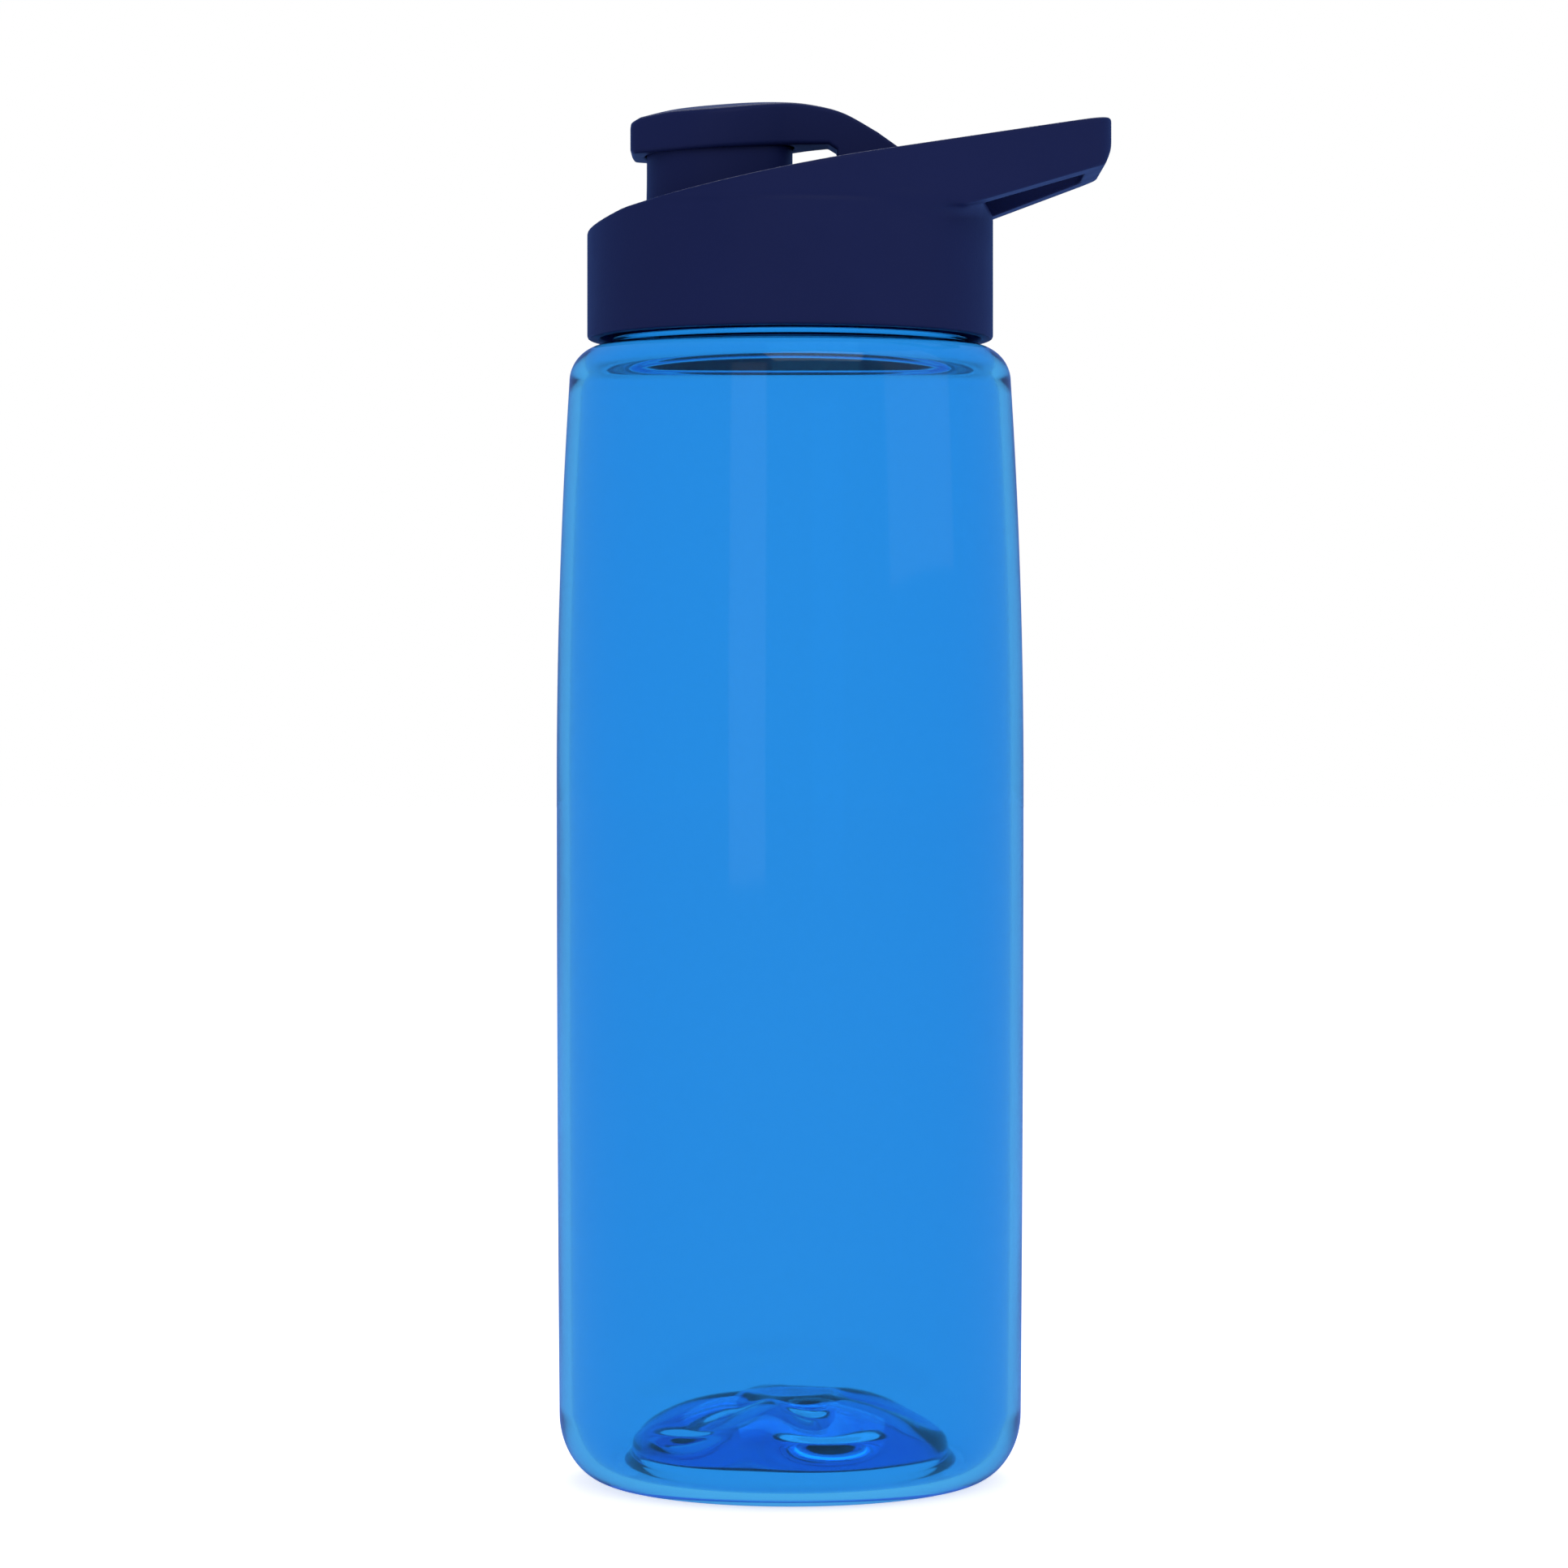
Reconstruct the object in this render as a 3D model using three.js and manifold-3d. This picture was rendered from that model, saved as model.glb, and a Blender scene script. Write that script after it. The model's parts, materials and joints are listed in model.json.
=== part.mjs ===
// Wide-mouth sports bottle: a clear bottle with a threaded neck, a screw lid with a carry loop,
// a drinking spout pressed into the lid from below, and a flip cap that plugs the spout.
// Millimetres, +Z up. The pieces are drawn around the bottle's own axis; the exported group shifts them
// along X so that the origin is the bottom centre of the whole object's box.
import * as THREE from "three";
import { mergeVertices } from "three/addons/utils/BufferGeometryUtils.js";
import Module from "manifold-3d";

const wasm = await Module();
wasm.setup();

// ---------------------------------------------------------------- driving dimensions
const GAP = 0.3; // left between neighbouring pieces
const ROUND = 48; // facets in a full turn
const DEGREE = Math.PI / 180;

// Bottle
const BODY_R = 38.08; // at its widest
const BODY_WIDEST_Z = 114;
const BODY_FOOT_R = 37.62; // where the bottom corner ends
const BODY_TOP_R = 36.0; // where the shoulder's corner starts
const CORNER_Z = 11; // top of the bottom corner
const SHOULDER_Z = 178.8; // bottom of the shoulder's corner
const SHOULDER_TOP_Z = 184.7;
const WALL = 2.0;
const SHOULDER_ROOF_Z = 183.4; // top of the space under the shoulder
const SHOULDER_IN = [3, 8]; // half-axes of the rounding inside the shoulder
const FOOT_RING = [26.2, 29.0]; // inner and outer radius of the flat the bottle stands on
const PUNT_Z = 12.2; // underside of the raised base, at its flat centre
const PUNT_FLAT_R = 6.5;
const NECK_R = 29.0;
const NECK_BORE_R = 27.4;
const NECK_TOP_Z = 199.6;

// Screw thread, right-handed, one start
const PITCH = 4;
const THREAD_TURNS = 1.25;
const THREAD_DEPTH = 1.6;
const THREAD_ROOT = 1.9; // axial width at the wall
const THREAD_CREST = 0.9;
const THREAD_Z = 190.6; // middle of the bottle's thread where it starts
const LID_THREAD_DROP = 1.75; // the lid's thread sits this far under the bottle's

// Lid
const LID_R = 33.1;
const SKIRT_BORE_R = 31.0;
const SKIRT_Z = 185.7; // lower rim
const LAND_Z = 202.0; // flat ring that presses on the gasket
const DECK_Z = 210.7; // deck rim's height on the bottle's axis
const DECK_SLOPE = 0.2; // rise per millimetre of X
const RIM_FALL = { x: -26.5, slope: 0.33 }; // beyond this X the rim falls faster
const DECK_SINK = 1.0; // the deck's floor under its rim
const DECK_THICK = 2.0;
const RIM = 2.5; // width of the rim round the deck
const PAN_WALL = 3.2; // between the deck's pan and the finger hole
const DOME_R = 25.8; // hollow above the land
const LOOP_END = { x: 44.9, y: 8, r: 7 }; // the round corners at the loop's far end
const LOOP_TIP = LOOP_END.x + LOOP_END.r;
const LOOP_FLAT_Z = 205.4; // the loop's underside beside the collar
const LOOP_UNDER = { x: 30.6, z: 206.3, slope: 0.335 }; // plane of the underside further out
const LOOP_BEVEL = { x: 1.3, z: 3.0, topZ: 215.8 }; // cut off the tip's lower edge
const FINGER = { x0: 30.8, x1: 47.7, arm: 6, r: 2 }; // the hole and the arms beside it
const COLLAR_TOP_Z = 207.3; // the collar's round shoulder inside the finger hole
const COLLAR_ROUND = 2.3;

// Gasket
const GASKET = { r0: 26.6, r1: 30.5, z0: NECK_TOP_Z + GAP, z1: LAND_Z - GAP };

// Spout
const SPOUT_X = -11.5;
const SPOUT_R = 11.9;
const SPOUT_BORE_R = 9.4;
const SPOUT_TOP_Z = 217.4;
const SPOUT_FLANGE_R = 13.6;
const SPOUT_FLANGE = 1.4;

// Flip cap and its hinge
const HINGE = { x: 17.1, z: 213.6 };
const BARREL_R = 3.0;
const ARM_HALF = 3.3;
// The block under the hinge, measured from the pin's middle.
const MOUNT = { back: 5.6, front: 5, rib: 10, deep: 5.8, shallow: 1.6, earFoot: 6 };
const ARM_BACK = 145.8; // direction of the arm's back where it leaves the barrel, degrees
const EAR = 2.6; // thickness of each ear
const EAR_IN = ARM_HALF + 0.35; // the ears' inner faces
const EAR_OUT = EAR_IN + EAR;
const PIN_R = 1.25;
const PIN_BORE_R = 1.4;
const HEAD_R = 13.2;
const HEAD_NECK = 45; // degrees of the head's circle where the arm's fillet starts
const ARM_STRAIGHT = 8.6; // length of the arm's parallel sides, from past the hinge
const THUMB = { x: -26.15, half: 8.0, r: 3.0 };
const CAP_OPEN = 115; // degrees
const CAP_ARCH = 0.0105; // the top falls by this times the square of Y
const CAP_ARCH_Z = 219; // only points above this height follow the arch
const CAP_BLOCK_X = 7.6; // the thick end of the arm, in front of the barrel
const SEAL_R = 12.2; // the cap's hollow over the spout
const SEAL_Z = 219.6; // the hollow's ceiling
const STUD_R = 2.0;

// ---------------------------------------------------------------- shared tools
// A closed mesh as a manifold solid with its faces out.
function solid(geometry) {
  const bare = geometry.clone();
  bare.deleteAttribute("normal");
  bare.deleteAttribute("uv");
  const merged = mergeVertices(bare, 1e-4);
  const vertProperties = new Float32Array(merged.attributes.position.array);
  const triVerts = new Uint32Array(merged.index.array);
  const made = new wasm.Manifold(new wasm.Mesh({ numProp: 3, vertProperties, triVerts }));
  if (made.volume() > 0) return made;
  return new wasm.Manifold(new wasm.Mesh({ numProp: 3, vertProperties, triVerts: triVerts.reverse() }));
}

function geometryOf(shape) {
  const mesh = shape.getMesh();
  const geometry = new THREE.BufferGeometry();
  geometry.setAttribute("position", new THREE.BufferAttribute(new Float32Array(mesh.vertProperties), 3));
  geometry.setIndex(new THREE.BufferAttribute(new Uint32Array(mesh.triVerts), 1));
  geometry.computeVertexNormals();
  return geometry;
}

// Points along an arc, in degrees, both ends included.
function arc(cx, cy, rx, ry, from, to, steps) {
  const points = [];
  for (let i = 0; i <= steps; i += 1) {
    const a = (from + ((to - from) * i) / steps) * DEGREE;
    points.push([cx + rx * Math.cos(a), cy + ry * Math.sin(a)]);
  }
  return points;
}

const outline = (points) => new THREE.Shape(points.map(([x, y]) => new THREE.Vector2(x, y)));

// A closed profile of [radius, z] turned about the Z axis through (x, 0).
function turned(profile, x = 0) {
  const closed = [...profile];
  if (closed[0][0] > 0) closed.push(closed[0]);
  const geometry = new THREE.LatheGeometry(closed.map(([r, z]) => new THREE.Vector2(r, z)), ROUND);
  geometry.rotateX(Math.PI / 2);
  geometry.translate(x, 0, 0);
  return solid(geometry);
}

const disc = (r, z0, z1, x = 0) => turned([[0, z0], [r, z0], [r, z1], [0, z1]], x);

// A plan outline of [x, y] raised from z0 to z1.
function raised(points, z0, z1) {
  const geometry = new THREE.ExtrudeGeometry(outline(points), { depth: z1 - z0, bevelEnabled: false });
  geometry.translate(0, 0, z0);
  return solid(geometry);
}

// A side outline of [x, z] carried across from y0 to y1, each point's z lowered by drop(y, z).
function carried(points, y0, y1, steps = 1, drop = () => 0) {
  const geometry = new THREE.ExtrudeGeometry(outline(points), { depth: y1 - y0, steps, bevelEnabled: false });
  geometry.rotateX(Math.PI / 2);
  geometry.translate(0, y1, 0);
  const position = geometry.attributes.position;
  for (let i = 0; i < position.count; i += 1) {
    const z = position.getZ(i);
    position.setZ(i, z - drop(position.getY(i), z));
  }
  return solid(geometry);
}

// Everything within reach under or over a height that is a function of x.
const REACH = 70;
const TOP = DECK_Z + REACH;
function under(height) {
  const side = [[-REACH, -REACH], [REACH, -REACH], [REACH, height(REACH)], [-REACH, height(-REACH)]];
  return carried(side, -REACH, REACH);
}

function over(height) {
  const side = [[-REACH, height(-REACH)], [REACH, height(REACH)], [REACH, TOP], [-REACH, TOP]];
  return carried(side, -REACH, REACH);
}

const deck = (sunk = 0) => (x) => DECK_Z - sunk + DECK_SLOPE * x;

// A thread: a straight bar with a trapezium section, bent onto its helix, sinking into the wall at both ends.
function thread(wallR, outward, startZ) {
  const sink = 0.5;
  const steps = Math.round(THREAD_TURNS * ROUND);
  const section = [
    [-sink, -THREAD_ROOT / 2 - 0.3],
    [THREAD_DEPTH, -THREAD_CREST / 2],
    [THREAD_DEPTH, THREAD_CREST / 2],
    [-sink, THREAD_ROOT / 2 + 0.3],
  ];
  const bar = new THREE.ExtrudeGeometry(outline(section), { depth: 1, steps, bevelEnabled: false });
  const position = bar.attributes.position;
  const runOut = 1 / 12; // share of the bar over which the thread rises from the wall
  for (let i = 0; i < position.count; i += 1) {
    const along = position.getZ(i);
    const rise = Math.min(1, Math.min(along, 1 - along) / runOut);
    const height = position.getX(i) > 0 ? (THREAD_DEPTH + sink) * rise - sink : -sink;
    const r = wallR + (outward ? height : -height);
    const turn = along * THREAD_TURNS * 2 * Math.PI;
    const z = startZ + position.getY(i) + along * THREAD_TURNS * PITCH;
    position.setXYZ(i, r * Math.cos(turn), r * Math.sin(turn), z);
  }
  return solid(bar);
}

// ---------------------------------------------------------------- bottle
// The wall's outer radius: two parabolas that meet at the widest height.
function bodyRadius(z) {
  const below = z < BODY_WIDEST_Z;
  const drop = BODY_R - (below ? BODY_FOOT_R : BODY_TOP_R);
  const span = BODY_WIDEST_Z - (below ? CORNER_Z : SHOULDER_Z);
  return BODY_R - drop * ((z - BODY_WIDEST_Z) / span) ** 2;
}

function sideWall(inset, from, to, steps) {
  const points = [];
  for (let i = 0; i <= steps; i += 1) {
    const z = from + ((to - from) * i) / steps;
    points.push([bodyRadius(z) - inset, z]);
  }
  return points;
}

function bottleOuter() {
  const [footIn, footOut] = FOOT_RING;
  const shoulderR = NECK_R + 1;
  return [
    [0, PUNT_Z],
    [PUNT_FLAT_R, PUNT_Z],
    ...arc(PUNT_FLAT_R, 2, footIn - 1 - PUNT_FLAT_R, PUNT_Z - 3, 75, 0, 5),
    [footIn, 0],
    [footOut, 0],
    ...arc(footOut, CORNER_Z, BODY_FOOT_R - footOut, CORNER_Z, -72, -12, 4),
    ...sideWall(0, CORNER_Z, SHOULDER_Z, 9),
    ...arc(shoulderR, SHOULDER_Z, BODY_TOP_R - shoulderR, SHOULDER_TOP_Z - SHOULDER_Z, 15, 90, 5),
    [NECK_R, SHOULDER_TOP_Z + 0.7],
    [NECK_R, NECK_TOP_Z],
  ];
}

function bottleInner() {
  const [footIn, footOut] = FOOT_RING;
  const floorZ = 2.2;
  const cornerR = BODY_FOOT_R - WALL - footOut;
  const [roundR, roundZ] = SHOULDER_IN;
  const roundStart = SHOULDER_ROOF_Z - roundZ;
  const roundX = bodyRadius(roundStart) - WALL - roundR;
  return [
    [NECK_BORE_R, NECK_TOP_Z],
    [NECK_BORE_R, SHOULDER_ROOF_Z],
    ...arc(roundX, roundStart, roundR, roundZ, 90, 12, 6),
    ...sideWall(WALL, roundStart, CORNER_Z + 1, 8),
    ...arc(footOut, CORNER_Z + 1, cornerR, CORNER_Z + 1 - floorZ, -15, -90, 4),
    [footIn + 2, floorZ],
    ...arc(PUNT_FLAT_R, 4, footIn - PUNT_FLAT_R, PUNT_Z - 3.4, 10, 75, 4),
    [PUNT_FLAT_R, PUNT_Z + WALL],
    [0, PUNT_Z + WALL],
  ];
}

function bottleBody() {
  const shell = turned([...bottleOuter(), ...bottleInner()]);
  return shell.add(thread(NECK_R, true, THREAD_Z));
}

// ---------------------------------------------------------------- lid
// Where the loop's straight sides leave the collar's circle, as an angle from +X.
const loopTangent = () => {
  const reach = Math.hypot(LOOP_END.x, LOOP_END.y);
  return (Math.atan2(LOOP_END.y, LOOP_END.x) + Math.acos((LID_R - LOOP_END.r) / reach)) / DEGREE;
};

function lidPlan() {
  const tangent = loopTangent();
  return [
    ...arc(0, 0, LID_R, LID_R, tangent, 360 - tangent, 44),
    ...arc(LOOP_END.x, -LOOP_END.y, LOOP_END.r, LOOP_END.r, -tangent, 0, 6),
    ...arc(LOOP_END.x, LOOP_END.y, LOOP_END.r, LOOP_END.r, 0, tangent, 6),
  ];
}

// The finger hole keeps the arms equally thick: its sides run beside the loop's straight sides.
function fingerPlan() {
  const tangent = loopTangent() * DEGREE;
  const inner = LID_R - FINGER.arm;
  const halfAt = (x) => (inner - x * Math.cos(tangent)) / Math.sin(tangent);
  const { x0, x1, r } = FINGER;
  const corner = halfAt(x1) - r;
  return [
    [x0, -halfAt(x0)],
    ...arc(x1 - r, -corner, r, r, -60, 0, 3),
    ...arc(x1 - r, corner, r, r, 0, 60, 3),
    [x0, halfAt(x0)],
  ];
}

function loopUnder(x) {
  return LOOP_UNDER.z + LOOP_UNDER.slope * (x - LOOP_UNDER.x);
}

function loopBevel(x) {
  return LOOP_BEVEL.topZ + (LOOP_BEVEL.z / LOOP_BEVEL.x) * (x - LOOP_TIP);
}

function rimFall(x) {
  return deck()(RIM_FALL.x) + RIM_FALL.slope * (x - RIM_FALL.x);
}

function lidOutside() {
  const chamfer = 0.5;
  const collar = turned([
    [0, SKIRT_Z],
    [LID_R - chamfer, SKIRT_Z],
    [LID_R, SKIRT_Z + chamfer],
    [LID_R, TOP],
    [0, TOP],
  ]);
  const loop = raised(lidPlan(), LOOP_FLAT_Z, TOP).intersect(over(loopUnder)).intersect(over(loopBevel));
  const collarInHole = turned([
    [0, SKIRT_Z],
    [LID_R, SKIRT_Z],
    ...arc(LID_R - COLLAR_ROUND, COLLAR_TOP_Z - COLLAR_ROUND, COLLAR_ROUND, COLLAR_ROUND, 0, 90, 4),
    [0, COLLAR_TOP_Z],
  ]);
  const fingerHole = raised(fingerPlan(), SKIRT_Z, TOP).subtract(collarInHole);
  return collar.add(loop).intersect(under(deck())).intersect(under(rimFall)).subtract(fingerHole);
}

// The deck's floor is a shallow pan inside the rim, cut short in front of the finger hole.
function deckPan() {
  const endX = FINGER.x0 - PAN_WALL;
  const side = [[-REACH, LAND_Z], [endX, LAND_Z], [endX, TOP], [-REACH, TOP]];
  const pan = disc(LID_R - RIM, LAND_Z, TOP).intersect(carried(side, -REACH, REACH));
  return pan.intersect(over(deck(DECK_SINK)));
}

function lidHollow() {
  const skirt = disc(SKIRT_BORE_R, SKIRT_Z - 1, LAND_Z);
  const dome = disc(DOME_R, LAND_Z - 1, TOP);
  return skirt.add(dome.intersect(under(deck(DECK_SINK + DECK_THICK))));
}

// Two ears with round tops, and the block under the deck that holds the barrel's pocket.
function hingeMount() {
  const { x, z } = HINGE;
  const { back, front, rib, deep, shallow, earFoot } = MOUNT;
  const footZ = z - earFoot;
  const ear = [[x - BARREL_R, footZ], [x + BARREL_R, footZ], ...arc(x, z, BARREL_R, BARREL_R, 0, 180, 10)];
  const ears = carried(ear, EAR_IN, EAR_OUT).add(carried(ear, -EAR_OUT, -EAR_IN));
  const low = z - deep;
  const block = [[x - back, low], [x + front, low], [x + rib, z - shallow], [x + rib, z], [x - back, z]];
  return ears.add(carried(block, -EAR_OUT, EAR_OUT).intersect(under(deck(DECK_SINK))));
}

// Room for the barrel, and a groove that the arm's back swings down into.
function hingePocket() {
  const { x, z } = HINGE;
  const room = BARREL_R + 0.6;
  const run = 12; // past the finger hole's edge
  const slope = (ARM_BACK - CAP_OPEN) * DEGREE; // of the arm's back with the cap open
  const low = [x + room * Math.sin(slope), z - room * Math.cos(slope)];
  const groove = [
    [x, z],
    [x, z - room],
    low,
    [low[0] + run * Math.cos(slope), low[1] + run * Math.sin(slope)],
    [x, z + run],
  ];
  const endX = FINGER.x0 + 1;
  const notch = carried([[x, LAND_Z], [endX, LAND_Z], [endX, TOP], [x, TOP]], -EAR_IN, EAR_IN);
  return carried(arc(x, z, room, room, 0, 354, 59), -EAR_IN, EAR_IN)
    .add(carried(groove, -EAR_IN, EAR_IN))
    .add(notch.intersect(over(deck(DECK_SINK))));
}

function pinBore(r, half) {
  return carried(arc(HINGE.x, HINGE.z, r, r, 0, 345, 23), -half, half);
}

function screwLid() {
  const spoutHole = disc(SPOUT_R + 0.5, LAND_Z - 1, TOP, SPOUT_X);
  return lidOutside()
    .subtract(deckPan())
    .subtract(lidHollow())
    .add(hingeMount())
    .subtract(hingePocket())
    .subtract(pinBore(PIN_BORE_R, EAR_OUT + 5))
    .subtract(spoutHole)
    .add(thread(SKIRT_BORE_R, false, THREAD_Z - LID_THREAD_DROP));
}

function neckGasket() {
  const { r0, r1, z0, z1 } = GASKET;
  return turned([[r0, z0], [r1, z0], [r1, z1], [r0, z1]]);
}

// ---------------------------------------------------------------- spout
function drinkSpout() {
  const flangeTop = DECK_SINK + DECK_THICK + GAP;
  const aboveFlange = over(deck(flangeTop + SPOUT_FLANGE));
  const lip = 0.9; // the rounding of the spout's top
  const draft = 0.15; // wider at the foot
  const tube = turned(
    [
      [0, LAND_Z - 2],
      [SPOUT_R + draft, LAND_Z - 2],
      [SPOUT_R, DECK_Z],
      ...arc(SPOUT_R - lip, SPOUT_TOP_Z - lip, lip, lip, 0, 90, 4),
      [0, SPOUT_TOP_Z],
    ],
    SPOUT_X,
  );
  const flange = disc(SPOUT_FLANGE_R, LAND_Z - 4, DECK_Z, SPOUT_X).intersect(under(deck(flangeTop)));
  const bore = disc(SPOUT_BORE_R, LAND_Z - 5, TOP, SPOUT_X);
  return tube.add(flange).intersect(aboveFlange).subtract(bore);
}

// ---------------------------------------------------------------- flip cap
// The cap's side: a low dome that falls along the arm's back to the hinge barrel.
function capSide() {
  const { x, z } = HINGE;
  const back = new THREE.SplineCurve(
    [
      [14.2, 219.45],
      [8.7, 222.5],
      [3.4, 223.8],
      [-2, 224.2],
      [-9, 224.0],
      [-18, 223.15],
      [-24.2, 221.75],
      [-25.9, 220.75],
    ].map(([px, pz]) => new THREE.Vector2(px, pz)),
  );
  return [
    [CAP_BLOCK_X, z - 0.4],
    ...arc(x, z, BARREL_R, BARREL_R, 188, 415, 18),
    ...back.getPoints(16).map((p) => [p.x, p.y]),
    [THUMB.x, 220],
    [THUMB.x, 216],
    [THUMB.x + 0.7, 215.4],
    [-16, 215.5],
    [-9.7, 215.8],
    [-4, 216.3],
    [0.4, 216.9],
    [CAP_BLOCK_X - 1.4, 217.3],
    [CAP_BLOCK_X, 216.4],
  ];
}

// From above: the arm, the round head, and the thumb's blunt end joined to the head by tangents.
function capPlan() {
  const armX = HINGE.x + BARREL_R + 1;
  const start = [SPOUT_X + HEAD_R * Math.cos(HEAD_NECK * DEGREE), HEAD_R * Math.sin(HEAD_NECK * DEGREE)];
  const cornerX = start[0] + (start[1] - ARM_HALF) * Math.tan(HEAD_NECK * DEGREE);
  const fillet = new THREE.QuadraticBezierCurve(
    new THREE.Vector2(armX - ARM_STRAIGHT, ARM_HALF),
    new THREE.Vector2(cornerX, ARM_HALF),
    new THREE.Vector2(...start),
  );
  const corner = [THUMB.x + THUMB.r, THUMB.half - THUMB.r];
  const apart = Math.hypot(corner[0] - SPOUT_X, corner[1]);
  const tangent = Math.atan2(corner[1], corner[0] - SPOUT_X) - Math.acos((HEAD_R - THUMB.r) / apart);
  const upper = [
    [armX, ARM_HALF],
    ...fillet.getPoints(6).map((p) => [p.x, p.y]),
    ...arc(SPOUT_X, 0, HEAD_R, HEAD_R, HEAD_NECK + 6, tangent / DEGREE, 12),
    ...arc(...corner, THUMB.r, THUMB.r, tangent / DEGREE, 180, 5),
  ];
  const lower = upper.map(([px, py]) => [px, -py]).reverse();
  return [...upper, ...lower];
}

function flipCap() {
  const reach = HEAD_R + 1;
  const arch = (y, z) => (z > CAP_ARCH_Z ? CAP_ARCH * y * y : 0);
  const stud = disc(STUD_R, SEAL_Z - 2.1, SEAL_Z + 1, SPOUT_X);
  return carried(capSide(), -reach, reach, 14, arch)
    .intersect(raised(capPlan(), SKIRT_Z, TOP))
    .subtract(disc(SEAL_R, DECK_Z - 2, SEAL_Z, SPOUT_X))
    .subtract(pinBore(PIN_BORE_R, ARM_HALF + 1))
    .add(stud);
}

// Soft plug: a flange that seals on the spout's lip and a tapered cup that enters its bore.
function capPlug() {
  const flangeZ = SPOUT_TOP_Z + GAP;
  const tipZ = SPOUT_TOP_Z - 3.2;
  return turned(
    [
      [0, flangeZ - 1.2],
      [6.6, flangeZ - 1.2],
      [7.2, tipZ],
      [8.3, tipZ],
      [SPOUT_BORE_R - GAP, flangeZ],
      [SEAL_R - 0.5, flangeZ],
      [SEAL_R - 0.5, SEAL_Z - GAP],
      [STUD_R + GAP, SEAL_Z - GAP],
      [STUD_R + GAP, SEAL_Z - 2.4],
      [0, SEAL_Z - 2.4],
    ],
    SPOUT_X,
  );
}

// ---------------------------------------------------------------- assembly
const NAVY = { color: 0x1c2550, roughness: 0.42, metalness: 0 };
const SILICONE = { color: 0x1f2a55, roughness: 0.7, metalness: 0 };
const TRITAN = { color: 0x1fa4ea, roughness: 0.06, metalness: 0, transparent: true, opacity: 0.55 };
const STEEL = { color: 0xb9bcc0, roughness: 0.3, metalness: 1 };

const bottle = new THREE.Group();

function place(name, shape, look) {
  const mesh = new THREE.Mesh(geometryOf(shape), new THREE.MeshStandardMaterial(look));
  mesh.name = name;
  bottle.add(mesh);
}

place("bottle_body", bottleBody(), TRITAN);
place("screw_lid", screwLid(), NAVY);
place("neck_gasket", neckGasket(), SILICONE);
place("drink_spout", drinkSpout(), NAVY);
place("flip_cap", flipCap(), NAVY);
place("cap_plug", capPlug(), SILICONE);
place("hinge_pin", pinBore(PIN_R, EAR_OUT), STEEL);

// The box runs from the body's left side to the loop's end.
bottle.position.x = (BODY_R - LOOP_TIP) / 2;

const part = new THREE.Group();
part.add(bottle);

export default part;
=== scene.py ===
"""A clear blue sports bottle with a navy screw lid, carry loop and flip cap, on a pale studio floor.

Shapes are worked out in millimetres around the bottle's own axis and placed in the row frame at the end.
Turned pieces are meshed from a profile. Moulded pieces are distance fields: solids joined and cut with
rounded edges, sampled on a grid and turned into a mesh.
"""
import itertools
import json
import math

import bpy
import numpy as np
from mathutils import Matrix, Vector


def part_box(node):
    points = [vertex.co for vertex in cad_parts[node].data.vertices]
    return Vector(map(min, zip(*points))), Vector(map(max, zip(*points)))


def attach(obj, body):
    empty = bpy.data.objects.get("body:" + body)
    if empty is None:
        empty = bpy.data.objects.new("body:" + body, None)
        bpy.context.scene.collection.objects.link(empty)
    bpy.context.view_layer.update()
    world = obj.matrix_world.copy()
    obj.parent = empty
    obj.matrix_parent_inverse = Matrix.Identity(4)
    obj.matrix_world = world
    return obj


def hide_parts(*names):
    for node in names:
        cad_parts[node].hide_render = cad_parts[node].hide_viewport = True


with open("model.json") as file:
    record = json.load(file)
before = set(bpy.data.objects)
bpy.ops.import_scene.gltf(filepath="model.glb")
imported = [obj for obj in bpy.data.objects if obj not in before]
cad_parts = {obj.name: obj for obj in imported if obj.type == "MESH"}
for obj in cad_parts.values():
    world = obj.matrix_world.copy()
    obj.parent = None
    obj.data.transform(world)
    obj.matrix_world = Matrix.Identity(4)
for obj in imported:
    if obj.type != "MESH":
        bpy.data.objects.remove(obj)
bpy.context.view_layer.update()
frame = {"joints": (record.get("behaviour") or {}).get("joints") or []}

MM = 0.001

# ------------------------------------------------------------------ dimensions, millimetres
JOINT = {joint["name"]: joint for joint in frame["joints"]}
AXIS_X = JOINT["lid_turn"]["pos_m"][0] / MM  # the bottle's axis in the row frame
HINGE_X = JOINT["cap_hinge"]["pos_m"][0] / MM - AXIS_X
HINGE_Z = JOINT["cap_hinge"]["pos_m"][2] / MM


def low(node, axis):
    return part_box(node)[0][axis] / MM


def high(node, axis):
    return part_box(node)[1][axis] / MM


# Bottle
BODY_R = high("bottle_body", 1)
BODY_FOOT_R = 37.62
BODY_TOP_R = 36.0
BODY_WIDEST_Z = 114.0
CORNER_Z = 11.0
SHOULDER_Z = 178.8
SHOULDER_TOP_Z = 184.7
WALL = 2.0
SHOULDER_IN = (3.0, 8.0)  # the half-axes of the rounding inside the shoulder
SHOULDER_ROOF_Z = 183.4  # top of the space under the shoulder
FOOT_IN = 26.2
FOOT_OUT = 29.0
PUNT_Z = 12.2
PUNT_FLAT_R = 6.5
PUNT_FLOOR_Z = 2.2  # the inside of the foot, around the raised base
FLUTES = 5  # in the raised base's slope
FLUTE_DEPTH = 2.0
FLUTE_TURN = math.radians(180)  # where the first rib between the flutes stands
PUNT_BEAD = 0.15  # height of the soft bead around the raised base's flat
NECK_R = 29.0
NECK_BORE_R = 27.4
NECK_TOP_Z = high("bottle_body", 2)

# Thread
PITCH = 4.0
THREAD_TURNS = 1.25
THREAD_DEPTH = 1.6
THREAD_ROOT = 1.9
THREAD_CREST = 0.9
THREAD_Z = 190.6
LID_THREAD_DROP = 1.75

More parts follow.
